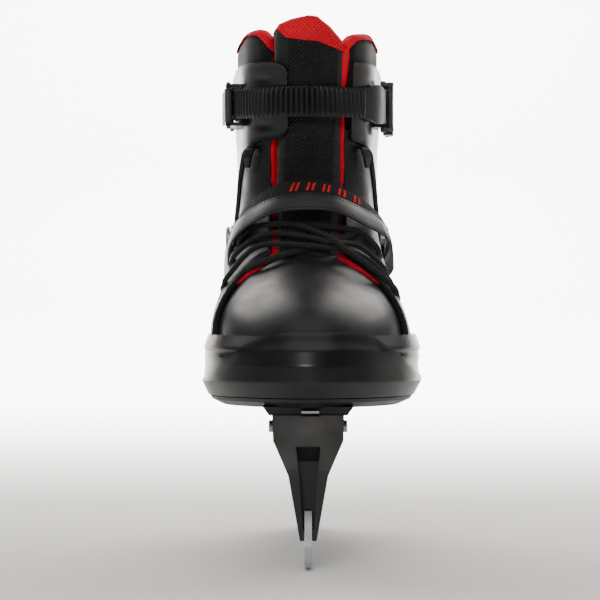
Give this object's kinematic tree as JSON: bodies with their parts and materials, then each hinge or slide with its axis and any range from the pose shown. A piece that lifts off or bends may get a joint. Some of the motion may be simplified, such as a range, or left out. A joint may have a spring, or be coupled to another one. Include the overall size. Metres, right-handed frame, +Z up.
{
  "type": "ice skate",
  "caption": "Recreational ice skate: padded lace-up boot with a hinged cuff, toothed ankle strap with ratchet buckle, instep strap, plastic blade holder and steel blade.",
  "frame": {"origin": "middle of the blade's flat running edge, where it stands on the ice", "axes": "+Z up, -Y towards the toe, +X towards the inner side of this right-foot skate"},
  "size_m": [0.1179, 0.2952, 0.2922],
  "materials": {
    "blade_steel": "satin, ground",
    "holder_plastic": "satin",
    "zinc_steel": "satin",
    "grey_leather": "smooth, low sheen",
    "lining_cloth": "brushed pile",
    "collar_cloth": "stretch cloth over foam",
    "insole_foam": "felt",
    "shell_plastic": "semi gloss",
    "bumper_plastic": "gloss",
    "sole_rubber": "matte",
    "quarter_leather": "grained",
    "tongue_mesh": "fine mesh",
    "cuff_plastic": "satin",
    "strap_plastic": "satin",
    "buckle_plastic": "matte",
    "lever_plastic": "satin",
    "pin_chrome": "polished",
    "strap_webbing": "ribbed webbing",
    "lace_cloth": "woven"
  },
  "bodies": {
    "boot": {"blade": "blade_steel", "blade_holder": "holder_plastic", "deck_bolts": "zinc_steel", "blade_bolts": "zinc_steel", "blade_nuts": "zinc_steel", "tower_side_screws": "zinc_steel", "toe_lug": "zinc_steel", "tee_nuts": "zinc_steel", "toe_cap": "grey_leather", "liner_lower": "lining_cloth", "insole": "insole_foam", "insole_board": "insole_foam", "base_shell": "shell_plastic", "toe_bumper": "bumper_plastic", "outsole": "sole_rubber", "quarter_outer": "quarter_leather", "quarter_inner": "quarter_leather", "tongue_lower": "tongue_mesh", "cuff_rivets": "zinc_steel", "strap_rivets": "zinc_steel", "lace": "lace_cloth", "eyelets": "pin_chrome"},
    "cuff": {"cuff": "cuff_plastic", "collar": "collar_cloth", "tongue_upper": "tongue_mesh", "lace_hooks": "buckle_plastic", "heel_loop": "strap_webbing", "ratchet_base": "buckle_plastic", "buckle_pins": "pin_chrome", "anchor_bracket": "buckle_plastic", "anchor_pin": "pin_chrome", "pawl_spring": "zinc_steel", "cuff_screws": "zinc_steel"},
    "ladder": {"ladder_strap": "strap_plastic"},
    "ratchet_lever": {"ratchet_lever": "lever_plastic"},
    "ratchet_pawl": {"ratchet_pawl": "buckle_plastic"},
    "anchor_latch": {"anchor_latch": "lever_plastic"},
    "instep_strap": {"instep_strap": "strap_webbing"}
  },
  "joints": [
    {"name": "cuff_flex", "type": "hinge", "parent": "boot", "child": "cuff", "pos_m": [0, 0.062, 0.176], "axis": [1, 0, 0], "range_deg": [-3, 10], "stiffness_Nm_per_rad": 30},
    {"name": "ladder_swing", "type": "hinge", "parent": "cuff", "child": "ladder", "pos_m": [0.0435, 0.02, 0.251], "axis": [0, 0, 1], "range_deg": [0, 90]},
    {"name": "ratchet_lever_lift", "type": "hinge", "parent": "cuff", "child": "ratchet_lever", "pos_m": [-0.0452, 0.008, 0.251], "axis": [0, 0, 1], "range_deg": [0, 100]},
    {"name": "ratchet_pawl_release", "type": "hinge", "parent": "cuff", "child": "ratchet_pawl", "pos_m": [-0.0436, 0.033, 0.251], "axis": [0, 0, -1], "range_deg": [0, 4], "stiffness_Nm_per_rad": 0.05},
    {"name": "anchor_latch_lift", "type": "hinge", "parent": "cuff", "child": "anchor_latch", "pos_m": [0.0435, 0.02, 0.251], "axis": [0, 0, -1], "range_deg": [0, 30]},
    {"name": "instep_strap_peel", "type": "hinge", "parent": "boot", "child": "instep_strap", "pos_m": [-0.047, 0.026, 0.158], "axis": [0, -0.543, -0.8397], "range_deg": [0, 70], "stiffness_Nm_per_rad": 0.3}
  ]
}
